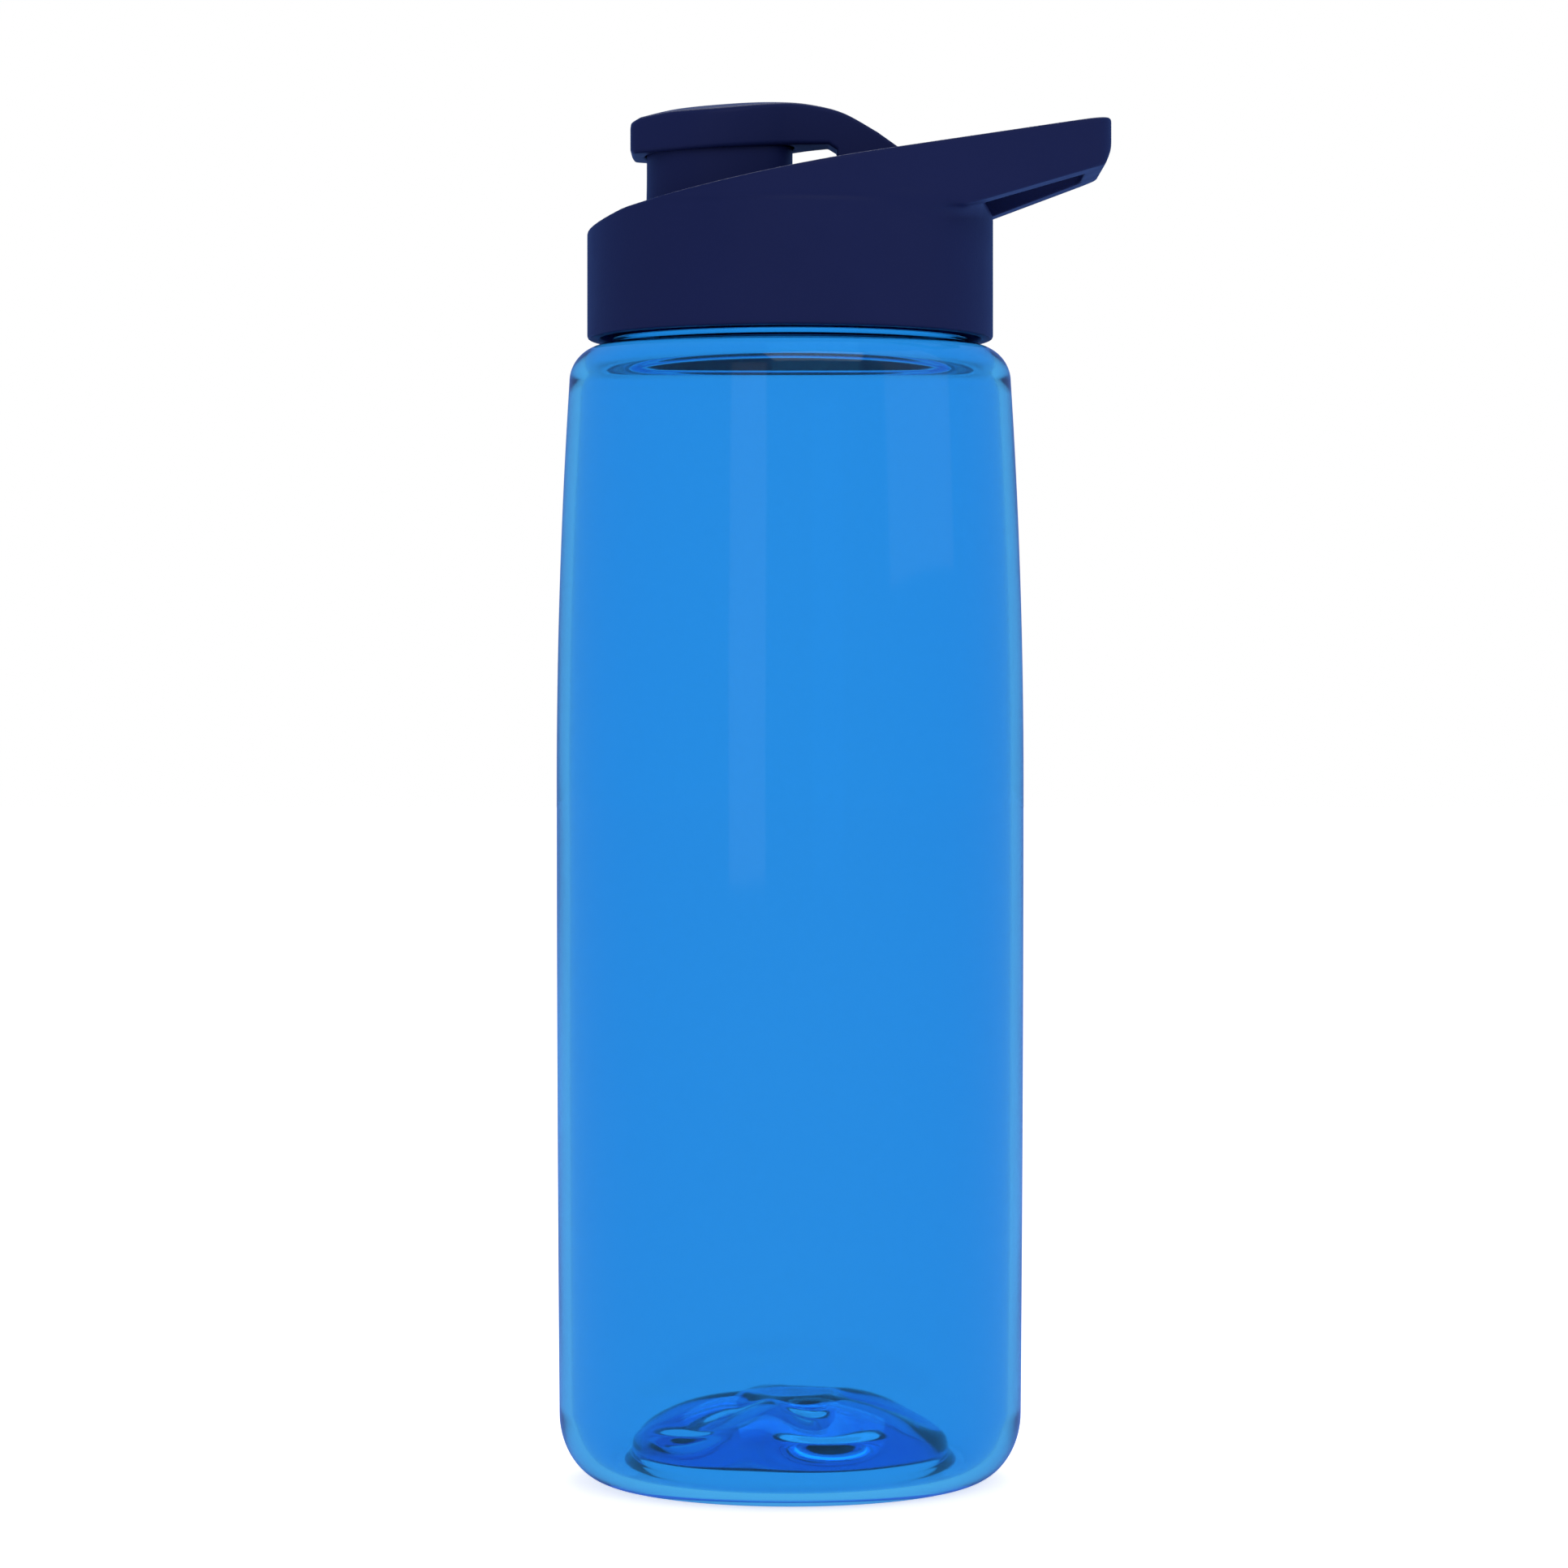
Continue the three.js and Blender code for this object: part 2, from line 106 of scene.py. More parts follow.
# Lid
LID_R = high("screw_lid", 1)
SKIRT_BORE_R = 31.0
SKIRT_Z = low("screw_lid", 2)
LAND_Z = 202.0
DECK_Z = 210.7
DECK_SLOPE = 0.2
RIM_FALL_X = -26.5  # beyond this X the rim falls faster
RIM_FALL_SLOPE = 0.33
DECK_SINK = 1.0
DECK_THICK = 2.0
RIM = 2.5
PAN_WALL = 3.2  # between the deck's pan and the finger hole
DOME_R = 25.8
LOOP_TIP = high("screw_lid", 0) - AXIS_X
LOOP_R = 7.0
LOOP_HALF = 8.0
LOOP_FLAT_Z = 205.4
LOOP_UNDER_X = 30.6
LOOP_UNDER_Z = 206.3
LOOP_UNDER_SLOPE = 0.335
LOOP_BEVEL_Z = 215.8
LOOP_BEVEL_SLOPE = 3.0 / 1.3
FINGER_IN = 30.8
FINGER_OUT = 47.7
FINGER_R = 2.0
ARM_WIDE = 6.0
COLLAR_TOP_Z = 207.3
COLLAR_ROUND = 2.3
GASKET_BORE_R = 26.6

# Spout, cap, hinge
SPOUT_R = 11.9
SPOUT_X = -11.5
SPOUT_BORE_R = 9.4
SPOUT_TOP_Z = high("drink_spout", 2)
SPOUT_FLANGE_R = high("drink_spout", 1)
SPOUT_FLANGE = 1.4
BARREL_R = 3.0
ARM_HALF = 3.3
HINGE_PLAY = 0.35
EAR = 2.6
ARM_BACK = 145.8  # direction of the arm's back where it leaves the barrel, degrees
PIN_R = 1.25
PIN_BORE_R = 1.4
HEAD_R = high("flip_cap", 1)
THUMB_X = low("flip_cap", 0) - AXIS_X
THUMB_HALF = 8.0
THUMB_R = 3.0
ARM_STRAIGHT = 8.6  # length of the arm's parallel sides, from past the hinge
HEAD_NECK = 45  # degrees of the head's circle where the arm's fillet starts
CAP_ARCH = 0.0105  # the top falls by this times the square of Y
CAP_BLOCK_X = 7.6
SEAL_R = 12.2
SEAL_Z = 219.6
STUD_R = 2.0
BACK_OPEN = math.radians(ARM_BACK - JOINT["cap_hinge"]["range_deg"][1])
GAP = 0.3


# ------------------------------------------------------------------ outlines
def arc(cx, cy, rx, ry, start, end, steps):
    """Points along an arc of an ellipse, angles in degrees, both ends included."""
    angles = np.radians(np.linspace(start, end, steps + 1))
    return [(cx + rx * math.cos(a), cy + ry * math.sin(a)) for a in angles]


def spline(points, steps):
    """A smooth curve through the points."""
    points = np.array(points, float)
    ends = np.vstack([points[0], points, points[-1]])
    made = []
    for i, j in enumerate(range(len(points) - 1)):
        a, b, c, d = ends[j : j + 4]
        for t in np.linspace(0, 1, steps, endpoint=False):
            speed_in = (c - a) / 2
            speed_out = (d - b) / 2
            cubic = (2 * b - 2 * c + speed_in + speed_out) * t**3
            square = (-3 * b + 3 * c - 2 * speed_in - speed_out) * t**2
            made.append(tuple(cubic + square + speed_in * t + b))
    made.append(tuple(points[-1]))
    return made


def mirrored(upper):
    """An outline whose lower half mirrors its upper half."""
    return upper + [(x, -y) for x, y in reversed(upper)]


# ------------------------------------------------------------------ distance fields
def outline_distance(points, u, v):
    """Distance from each (u, v) to a closed outline, negative inside."""
    shape = np.broadcast(u, v).shape
    nearest = np.full(shape, np.inf, np.float32)
    inside = np.zeros(shape, bool)
    for (ax, ay), (bx, by) in zip(points, points[1:] + points[:1]):
        ex, ey = bx - ax, by - ay
        length = ex * ex + ey * ey
        if length < 1e-12:
            continue
        du, dv = u - ax, v - ay
        share = np.clip((du * ex + dv * ey) / length, 0, 1)
        nearest = np.minimum(nearest, (du - share * ex) ** 2 + (dv - share * ey) ** 2)
        if by != ay:
            inside ^= ((ay > v) != (by > v)) & (u < ex * (v - ay) / ey + ax)
    return (np.where(inside, -1, 1) * np.sqrt(nearest)).astype(np.float32)


def join(a, b, fillet=0.0):
    """The union of two fields, with a fillet of that radius where they meet."""
    plain = np.maximum(fillet, np.minimum(a, b))
    return plain - np.hypot(np.maximum(fillet - a, 0), np.maximum(fillet - b, 0))


def meet(a, b, rounding=0.0):
    """The part of a inside b, with the new edge rounded to that radius."""
    return -join(-a, -b, rounding)


def cut(a, b, rounding=0.0):
    """a without b, with the new edge rounded to that radius."""
    return meet(a, -b, rounding)


def slab(value, middle, half):
    return np.abs(value - middle) - half


def ramp(value, start, end):
    """Rises smoothly from 0 at start to 1 at end."""
    t = np.clip((value - start) / (end - start), 0, 1)
    return t * t * (3 - 2 * t)


def deck_over(x, z, sink=0.0):
    """Distance above the plane that lies sink under the deck's rim."""
    return (z - DECK_Z + sink - DECK_SLOPE * x) / math.hypot(1, DECK_SLOPE)


def thread_height(turn, z, start):
    """How far the thread stands out of its wall at an angle, in radians, and a height."""
    height = 0.0
    run_out = 0.09
    for lap in range(math.ceil(THREAD_TURNS)):
        turns = turn / (2 * math.pi) + lap
        off = np.abs(z - start - PITCH * turns)
        flank = np.clip((THREAD_ROOT / 2 - off) / ((THREAD_ROOT - THREAD_CREST) / 2), 0, 1)
        share = turns / THREAD_TURNS
        rise = np.clip(np.minimum(share, 1 - share) / run_out, 0, 1)
        height = np.maximum(height, THREAD_DEPTH * flank * rise)
    return height


# ------------------------------------------------------------------ meshes
def sample(grid, places):
    """The grid's value at each place, given in cells, between the samples around it."""
    base = np.clip(np.floor(places).astype(int), 0, np.array(grid.shape) - 2)
    part = places - base
    total = np.zeros(len(places))
    for corner in itertools.product((0, 1), repeat=3):
        weight = np.prod(np.where(corner, part, 1 - part), axis=1)
        total += weight * grid[tuple((base + corner).T)]
    return total


def slope(grid, places, step=0.5):
    """The direction in which the field grows at each place."""
    sides = [sample(grid, places + s) - sample(grid, places - s) for s in np.eye(3) * step]
    return np.stack(sides, axis=1) / (2 * step)


def surface_net(grid):
    """The surface where the grid is zero: places in cells, and quads with their faces out."""
    inside = grid < 0
    core = tuple(n - 1 for n in grid.shape)
    corners = list(itertools.product((0, 1), repeat=3))
    shifted = [
        inside[i : i + core[0], j : j + core[1], k : k + core[2]] for i, j, k in corners
    ]
    count = sum(c.astype(np.int8) for c in shifted)
    crossed = (count > 0) & (count < len(corners))
    cells = np.argwhere(crossed)
    number = np.full(core, -1, np.int64)
    number[crossed] = np.arange(len(cells))

    total = np.zeros((len(cells), 3))
    hits = np.zeros(len(cells))
    for a, b in itertools.combinations(corners, 2):
        if sum(abs(p - q) for p, q in zip(a, b)) != 1:
            continue
        va = grid[tuple((cells + a).T)]
        vb = grid[tuple((cells + b).T)]
        hit = (va < 0) != (vb < 0)
        share = np.where(hit, va / np.where(hit, va - vb, 1), 0)[:, None]
        total += np.where(hit[:, None], np.array(a) + share * (np.array(b) - np.array(a)), 0)
        hits += hit
    places = cells + total / hits[:, None]

    quads = []
    for axis in range(3):
        u, v = [d for d in range(3) if d != axis]
        here = np.moveaxis(inside, (axis, u, v), (0, 1, 2))
        named = np.moveaxis(number, (axis, u, v), (0, 1, 2))
        start, end = here[:-1, 1:-1, 1:-1], here[1:, 1:-1, 1:-1]
        at = np.argwhere(start != end)
        i, j, k = at.T
        ring = [named[i, j + p, k + q] for p, q in ((0, 0), (1, 0), (1, 1), (0, 1))]
        ring = np.stack(ring, axis=1)
        leaving = start[i, j, k] == (axis != 1)
        quads.append(np.where(leaving[:, None], ring, ring[:, ::-1]))
    return places, np.concatenate(quads)


def new_object(name, points, faces):
    """A smooth mesh object from points in millimetres around the bottle's axis."""
    placed = (np.asarray(points) + (AXIS_X, 0, 0)) * MM
    mesh = bpy.data.meshes.new(name)
    mesh.from_pydata(placed.tolist(), [], [tuple(int(n) for n in face) for face in faces])
    mesh.validate()
    mesh.shade_smooth()
    made = bpy.data.objects.new(name, mesh)
    bpy.context.scene.collection.objects.link(made)
    return made


def thinned(made, triangles):
    """made with its mesh collapsed to about that many triangles, dense where it curves."""
    have = 2 * len(made.data.polygons)
    if have <= triangles:
        return made
    modifier = made.modifiers.new("thin", "DECIMATE")
    modifier.ratio = triangles / have
    graph = bpy.context.evaluated_depsgraph_get()
    mesh = bpy.data.meshes.new_from_object(made.evaluated_get(graph))
    made.modifiers.clear()
    made.data = mesh
    return made


def moulded(name, field, box, cell, triangles):
    """The mesh of a distance field inside a box, shaded by the field's own slope."""
    start = np.array(box[0], float) - 2 * cell
    stop = np.array(box[1], float) + 2 * cell
    axes = [np.arange(a, b, cell, dtype=np.float32) for a, b in zip(start, stop)]
    x = axes[0][:, None, None]
    y = axes[1][None, :, None]
    z = axes[2][None, None, :]
    grid = np.ascontiguousarray(field(x, y, z), np.float32)
    places, quads = surface_net(grid)
    for _ in range(2):
        grow = slope(grid, places)
        square = np.maximum((grow**2).sum(axis=1), 1e-6)
        move = (sample(grid, places) / square)[:, None] * grow
        places -= np.clip(move, -0.4, 0.4)
    made = thinned(new_object(name, places * cell + start, quads), triangles)
    points = np.array([v.co for v in made.data.vertices]) / MM - (AXIS_X, 0, 0)
    normals = slope(grid, (points - start) / cell, 0.7)
    normals /= np.maximum(np.linalg.norm(normals, axis=1), 1e-9)[:, None]
    made.data.shade_smooth()
    made.data.normals_split_custom_set_from_vertices(normals.tolist())
    return made


def turned(name, profile, columns, push=None, at_x=0.0):
    """The mesh of a profile of (radius, height) turned about a vertical axis at at_x.

    The profile starts and ends on the axis, or closes on itself. push may move the rows."""
    rows = np.array(profile, float)
    turn = np.linspace(0, 2 * math.pi, columns, endpoint=False)[None, :]
    r = np.repeat(rows[:, :1], columns, axis=1)
    z = np.repeat(rows[:, 1:], columns, axis=1)
    if push:
        r, z = push(r, z, turn)
    points = np.stack([at_x + r * np.cos(turn), r * np.sin(turn), z], axis=2).reshape(-1, 3)
    number = np.arange(len(rows) * columns).reshape(len(rows), columns)
    solid_core = rows[0, 0] == 0
    last = len(rows) - 1 if solid_core else len(rows)
    faces = []
    for i in range(last):
        here, above = number[i], number[(i + 1) % len(rows)]
        for j in range(columns):
            k = (j + 1) % columns
            ring = [here[j], here[k], above[k], above[j]]
            if rows[i, 0] == 0:
                ring = [number[i, 0], above[k], above[j]]
            elif rows[(i + 1) % len(rows), 0] == 0:
                ring = [here[j], here[k], above[0]]
            faces.append(ring)
    used = sorted({n for face in faces for n in face})
    renumber = {old: new for new, old in enumerate(used)}
    faces = [[renumber[n] for n in face] for face in faces]
    return new_object(name, points[used], faces)


# ------------------------------------------------------------------ bottle
def body_radius(z):
    foot = z < BODY_WIDEST_Z
    drop = BODY_R - (BODY_FOOT_R if foot else BODY_TOP_R)
    span = BODY_WIDEST_Z - (CORNER_Z if foot else SHOULDER_Z)
    return BODY_R - drop * ((z - BODY_WIDEST_Z) / span) ** 2


def side_wall(inset, start, end, steps):
    return [(body_radius(z) - inset, z) for z in np.linspace(start, end, steps + 1)]


def straight(start, end, steps):
    """Points from start towards end, without the last."""
    share = np.linspace(0, 1, steps, endpoint=False)
    return [tuple(np.array(start) + s * (np.array(end) - np.array(start))) for s in share]


def bottle_profile():
    shoulder_r = NECK_R + 1
    outside = [
        *straight((0, PUNT_Z), (PUNT_FLAT_R, PUNT_Z), 5),
        *arc(PUNT_FLAT_R, 2, FOOT_IN - 1 - PUNT_FLAT_R, PUNT_Z - 2, 90, 0, 30),
        *arc(FOOT_IN + 0.8, 0.8, 0.8, 0.8, 190, 270, 5),
        *arc(FOOT_OUT, CORNER_Z, BODY_FOOT_R - FOOT_OUT, CORNER_Z, -90, 0, 20),
        *side_wall(0, CORNER_Z, SHOULDER_Z, 44)[1:],
        *arc(shoulder_r, SHOULDER_Z, BODY_TOP_R - shoulder_r, SHOULDER_TOP_Z - SHOULDER_Z, 0, 90, 20)[1:],
        *arc(shoulder_r, SHOULDER_TOP_Z + 1, 1, 1, 270, 180, 5)[1:],
        *straight((NECK_R, SHOULDER_TOP_Z + 1.2), (NECK_R, NECK_TOP_Z - 0.5), 60),
        *arc(NECK_R - 0.5, NECK_TOP_Z - 0.5, 0.5, 0.5, 0, 90, 4),
    ]
    round_r, round_z = SHOULDER_IN
    round_start = SHOULDER_ROOF_Z - round_z
    round_x = body_radius(round_start) - WALL - round_r
    corner_r = BODY_FOOT_R - WALL - FOOT_OUT
    inside = [
        *arc(NECK_BORE_R + 0.4, NECK_TOP_Z - 0.4, 0.4, 0.4, 90, 180, 4),
        *straight((NECK_BORE_R, NECK_TOP_Z - 1), (NECK_BORE_R, SHOULDER_ROOF_Z + 1.1), 6),
        *arc(NECK_BORE_R + 1.2, SHOULDER_ROOF_Z + 1.1, 1.2, 1.1, 180, 270, 6),
        *arc(round_x, round_start, round_r, round_z, 90, 0, 20),
        *side_wall(WALL, round_start, CORNER_Z + 1, 44)[1:],
        *arc(FOOT_OUT, CORNER_Z + 1, corner_r, CORNER_Z + 1 - PUNT_FLOOR_Z, 0, -90, 16)[1:],
        *arc(FOOT_IN + 1.6, PUNT_FLOOR_Z + 1.6, 1.6, 1.6, 270, 200, 5),
        *arc(PUNT_FLAT_R, 4, FOOT_IN - PUNT_FLAT_R - 0.2, PUNT_Z - 4 + WALL, 4, 90, 30),
        *straight((PUNT_FLAT_R, PUNT_Z + WALL), (0, PUNT_Z + WALL), 5)[1:],
        (0, PUNT_Z + WALL),
    ]
    return outside + inside


def bottle_push(r, z, turn):
    """Stands the thread out of the neck and presses the flutes into the raised base."""
    neck = (np.abs(r - NECK_R) < 0.01) & (z > SHOULDER_TOP_Z + 1)
    r = r + np.where(neck, thread_height(turn, z, THREAD_Z), 0)
    top = PUNT_Z + WALL + 1
    share = 0.5 - 0.5 * np.cos(FLUTES * (turn - FLUTE_TURN))
    on_slope = ramp(r, PUNT_FLAT_R, 11) * (1 - ramp(r, 20, FOOT_IN - 1))
    z = z - np.where((z > 1) & (z < top), FLUTE_DEPTH, 0) * on_slope * share
    bead = np.exp(-(((r - PUNT_FLAT_R - 0.6) / 0.9) ** 2))
    z = z + np.where((z > PUNT_Z - 3) & (z < top), PUNT_BEAD, 0) * bead
    return r, z


def bottle():
    return turned("bottle", bottle_profile(), 192, bottle_push)


# ------------------------------------------------------------------ lid
def loop_tangent():
    """The angle, in radians, where the loop's straight sides leave the collar's circle."""
    x = LOOP_TIP - LOOP_R
    return math.atan2(LOOP_HALF, x) + math.acos((LID_R - LOOP_R) / math.hypot(x, LOOP_HALF))


def lid_plan():
    tangent = math.degrees(loop_tangent())
    x = LOOP_TIP - LOOP_R
    return [
        *arc(0, 0, LID_R, LID_R, tangent, 360 - tangent, 120),
        *arc(x, -LOOP_HALF, LOOP_R, LOOP_R, -tangent, 0, 14),
        *arc(x, LOOP_HALF, LOOP_R, LOOP_R, 0, tangent, 14),
    ]


def finger_plan():
    """The hole's sides run beside the loop's, so that the arms are equally wide."""
    tangent = loop_tangent()

    def half_at(x):
        return (LID_R - ARM_WIDE - x * math.cos(tangent)) / math.sin(tangent)

    corner = half_at(FINGER_OUT) - FINGER_R
    upper = [
        *arc(FINGER_OUT - FINGER_R, corner, FINGER_R, FINGER_R, 0, 62, 6),
        (FINGER_IN, half_at(FINGER_IN)),
    ]
    return mirrored(upper)


def loop_over(x, z):
    """Distance under the loop's lower side: level beside the collar, slanted, bevelled at the tip."""
    slanted = LOOP_UNDER_Z + LOOP_UNDER_SLOPE * (x - LOOP_UNDER_X) - z
    bevel = LOOP_BEVEL_Z + LOOP_BEVEL_SLOPE * (x - LOOP_TIP) - z
    lower = meet(slanted / math.hypot(1, LOOP_UNDER_SLOPE), LOOP_FLAT_Z - z)
    return meet(lower, bevel / math.hypot(1, LOOP_BEVEL_SLOPE), 0.3)


def lid_outside(x, y, z):
    r = np.hypot(x, y)
    corner = 1.5 - 1.1 * ramp(x, 22, 36)
    loop = meet(outline_distance(lid_plan(), x, y), loop_over(x, z), corner)
    loop = cut(loop, outline_distance(finger_plan(), x, y), 0.4)
    collar = meet(r - LID_R, z - COLLAR_TOP_Z, COLLAR_ROUND)
    crease = 2.2 * ramp(x, 8, 24)
    whole = join(collar, loop, crease)
    fall_z = DECK_Z + DECK_SLOPE * RIM_FALL_X + RIM_FALL_SLOPE * (x - RIM_FALL_X)
    top = meet(deck_over(x, z), (z - fall_z) / math.hypot(1, RIM_FALL_SLOPE))
    edge = 0.4 + 0.3 * ramp(x, 44, 51)
    return meet(meet(whole, top, edge), SKIRT_Z - z, 0.5)


def lid_pan(x, y, z):
    plan = meet(np.hypot(x, y) - (LID_R - RIM), x - (FINGER_IN - PAN_WALL), 3.0)
    return meet(plan, -deck_over(x, z, DECK_SINK), 0.5)


def lid_hollow(x, y, z):
    r = np.hypot(x, y)
    turn = np.mod(np.arctan2(y, x), 2 * math.pi)
    bore = r - SKIRT_BORE_R + thread_height(turn, z, THREAD_Z - LID_THREAD_DROP)
    skirt = meet(0.8 * bore, z - LAND_Z, 0.4)
    dome = meet(r - DOME_R, deck_over(x, z, DECK_SINK + DECK_THICK), 1.0)
    return join(skirt, dome)


def hinge_mount(x, y, z):
    """Two round-topped ears, and the block under the deck that holds the barrel's pocket."""
    top = [(HINGE_X + BARREL_R, HINGE_Z - 6), *arc(HINGE_X, HINGE_Z, BARREL_R, BARREL_R, 0, 180, 24)]
    top.append((HINGE_X - BARREL_R, HINGE_Z - 6))
    middle = ARM_HALF + HINGE_PLAY + EAR / 2
    ears = meet(outline_distance(top, x, z), slab(np.abs(y), middle, EAR / 2), 0.5)
    back, front, rib = HINGE_X - 5.6, HINGE_X + 5, HINGE_X + 10
    deep, shallow = HINGE_Z - 5.8, HINGE_Z - 1.6
    block = [(back, deep), (front, deep), (rib, shallow), (rib, HINGE_Z), (back, HINGE_Z)]
    under = meet(outline_distance(block, x, z), np.abs(y) - middle - EAR / 2, 0.6)
    return ears, meet(under, deck_over(x, z, DECK_SINK + 0.2))


def hinge_pocket(x, y, z):
    """Room for the barrel, and a groove that the arm's back swings down into."""
    half = ARM_HALF + HINGE_PLAY
    room = BARREL_R + 0.6
    run = 12
    foot = (HINGE_X + room * math.sin(BACK_OPEN), HINGE_Z - room * math.cos(BACK_OPEN))
    groove = [
        (HINGE_X, HINGE_Z + run),
        (HINGE_X, HINGE_Z - room),
        foot,
        (foot[0] + run * math.cos(BACK_OPEN), foot[1] + run * math.sin(BACK_OPEN)),
    ]
    barrel = np.hypot(x - HINGE_X, z - HINGE_Z) - room
    swept = join(barrel, outline_distance(groove, x, z))
    end_x = FINGER_IN + 1
    along = slab(x, (HINGE_X + end_x) / 2, (end_x - HINGE_X) / 2)
    notch = meet(-deck_over(x, z, DECK_SINK), along)
    return meet(join(swept, notch), np.abs(y) - half)


def lid_field(x, y, z):
    ears, block = hinge_mount(x, y, z)
    made = cut(lid_outside(x, y, z), lid_pan(x, y, z), 0.45)
    made = cut(made, lid_hollow(x, y, z), 0.3)
    made = join(join(made, ears, 0.6), block, 0.6)
    made = cut(made, hinge_pocket(x, y, z), 0.25)
    bore = np.hypot(x - HINGE_X, z - HINGE_Z) - PIN_BORE_R
    made = cut(made, meet(bore, np.abs(y) - ARM_HALF - HINGE_PLAY - EAR - 5), 0.15)
    return cut(made, np.hypot(x - SPOUT_X, y) - SPOUT_R - 0.5, 0.3)


def screw_lid():
    box = ((-LID_R, -LID_R, SKIRT_Z), (LOOP_TIP, LID_R, high("screw_lid", 2)))
    return moulded("screw_lid_shell", lid_field, box, 0.32, 170_000)


# ------------------------------------------------------------------ gasket, spout, plug, pin
def rounded_ring(r0, r1, z0, z1, round_r):
    corners = [(r1, z0, 270), (r1, z1, 0), (r0, z1, 90), (r0, z0, 180)]
    points = []
    for r, z, start in corners:
        cx = r - round_r if r == r1 else r + round_r
        cz = z - round_r if z == z1 else z + round_r
        points += arc(cx, cz, round_r, round_r, start, start + 90, 5)
    return points


def neck_gasket():
    bottom, top = low("neck_gasket", 2), high("neck_gasket", 2)
    profile = rounded_ring(GASKET_BORE_R, high("neck_gasket", 1), bottom, top, 0.4)
    return turned("gasket_ring", profile, 144)


def spout_field(x, y, z):
    r = np.hypot(x - SPOUT_X, y)
    draft = 0.15 * (1 - ramp(z, LAND_Z, DECK_Z + 2))
    flange_top = DECK_SINK + DECK_THICK + GAP
    tube = meet(r - SPOUT_R - draft, z - SPOUT_TOP_Z, 1.0)
    tube = meet(tube, -deck_over(x, z, flange_top + SPOUT_FLANGE))
    flange = meet(r - SPOUT_FLANGE_R, deck_over(x, z, flange_top), 0.3)
    flange = meet(flange, -deck_over(x, z, flange_top + SPOUT_FLANGE), 0.3)
    return cut(join(tube, flange, 0.2), r - SPOUT_BORE_R, 0.7)


def drink_spout():
    box = (
        (SPOUT_X - SPOUT_FLANGE_R, -SPOUT_FLANGE_R, low("drink_spout", 2)),
        (SPOUT_X + SPOUT_FLANGE_R, SPOUT_FLANGE_R, SPOUT_TOP_Z),
    )
    return moulded("mouthpiece", spout_field, box, 0.26, 60_000)


def cap_plug():
    flange_z = SPOUT_TOP_Z + GAP
    tip_z = low("cap_plug", 2)
    flange_r = high("cap_plug", 1)
    top_z = high("cap_plug", 2)
    profile = [
        (0, flange_z - 1.2),
        *arc(6.2, flange_z - 1.6, 0.4, 0.4, 90, 10, 3),
        *arc(7.75, tip_z + 0.55, 0.55, 0.55, 190, 350, 8),
        (SPOUT_BORE_R - GAP - 0.3, flange_z - 0.5),
        *arc(SPOUT_BORE_R - GAP + 0.1, flange_z - 0.4, 0.4, 0.4, 170, 90, 4),
        *arc(flange_r - 0.4, flange_z + 0.4, 0.4, 0.4, 270, 360, 5),
        *arc(flange_r - 0.4, top_z - 0.4, 0.4, 0.4, 0, 90, 5),
        (STUD_R + GAP, top_z),
        (STUD_R + GAP, SEAL_Z - 2.4),
        (0, SEAL_Z - 2.4),
    ]
    return turned("plug", profile, 120, at_x=SPOUT_X)


def hinge_pin():
    """A steel pin with chamfered ends, turned upright and then laid along Y."""
    half = high("hinge_pin", 1)
    chamfer = 0.3
    profile = [
        (0, -half),
        *straight((PIN_R - chamfer, -half), (PIN_R, chamfer - half), 3),
        *straight((PIN_R, chamfer - half), (PIN_R, half - chamfer), 8),
        *straight((PIN_R, half - chamfer), (PIN_R - chamfer, half), 3),
        (PIN_R - chamfer, half),
        (0, half),
    ]
    made = turned("pin", profile, 48)
    for vertex in made.data.vertices:
        x, y, z = vertex.co / MM
        vertex.co = Vector((HINGE_X + x, z, HINGE_Z - y)) * MM
    return made


# ------------------------------------------------------------------ flip cap
def cap_side():
    """The cap seen from the side: a low dome that falls along the arm's back to the barrel."""
    back = [
        (14.2, 219.45),
        (8.7, 222.5),
        (3.4, 223.8),
        (-2, 224.2),
        (-9, 224.0),
        (-18, 223.15),
        (-24.2, 221.75),
    ]
    foot = [(-16, 215.5), (-9.7, 215.8), (-4, 216.3), (0.4, 216.9), (CAP_BLOCK_X - 1.4, 217.3)]
    return [
        (CAP_BLOCK_X, HINGE_Z - 0.4),
        *arc(HINGE_X, HINGE_Z, BARREL_R, BARREL_R, 188, 415, 48),
        *spline(back, 6),
        (THUMB_X + 0.25, 220.75),
        (THUMB_X, 220),
        (THUMB_X, 216),
        (THUMB_X + 0.7, 215.4),
        *spline(foot, 3),
        (CAP_BLOCK_X, 216.4),
    ]


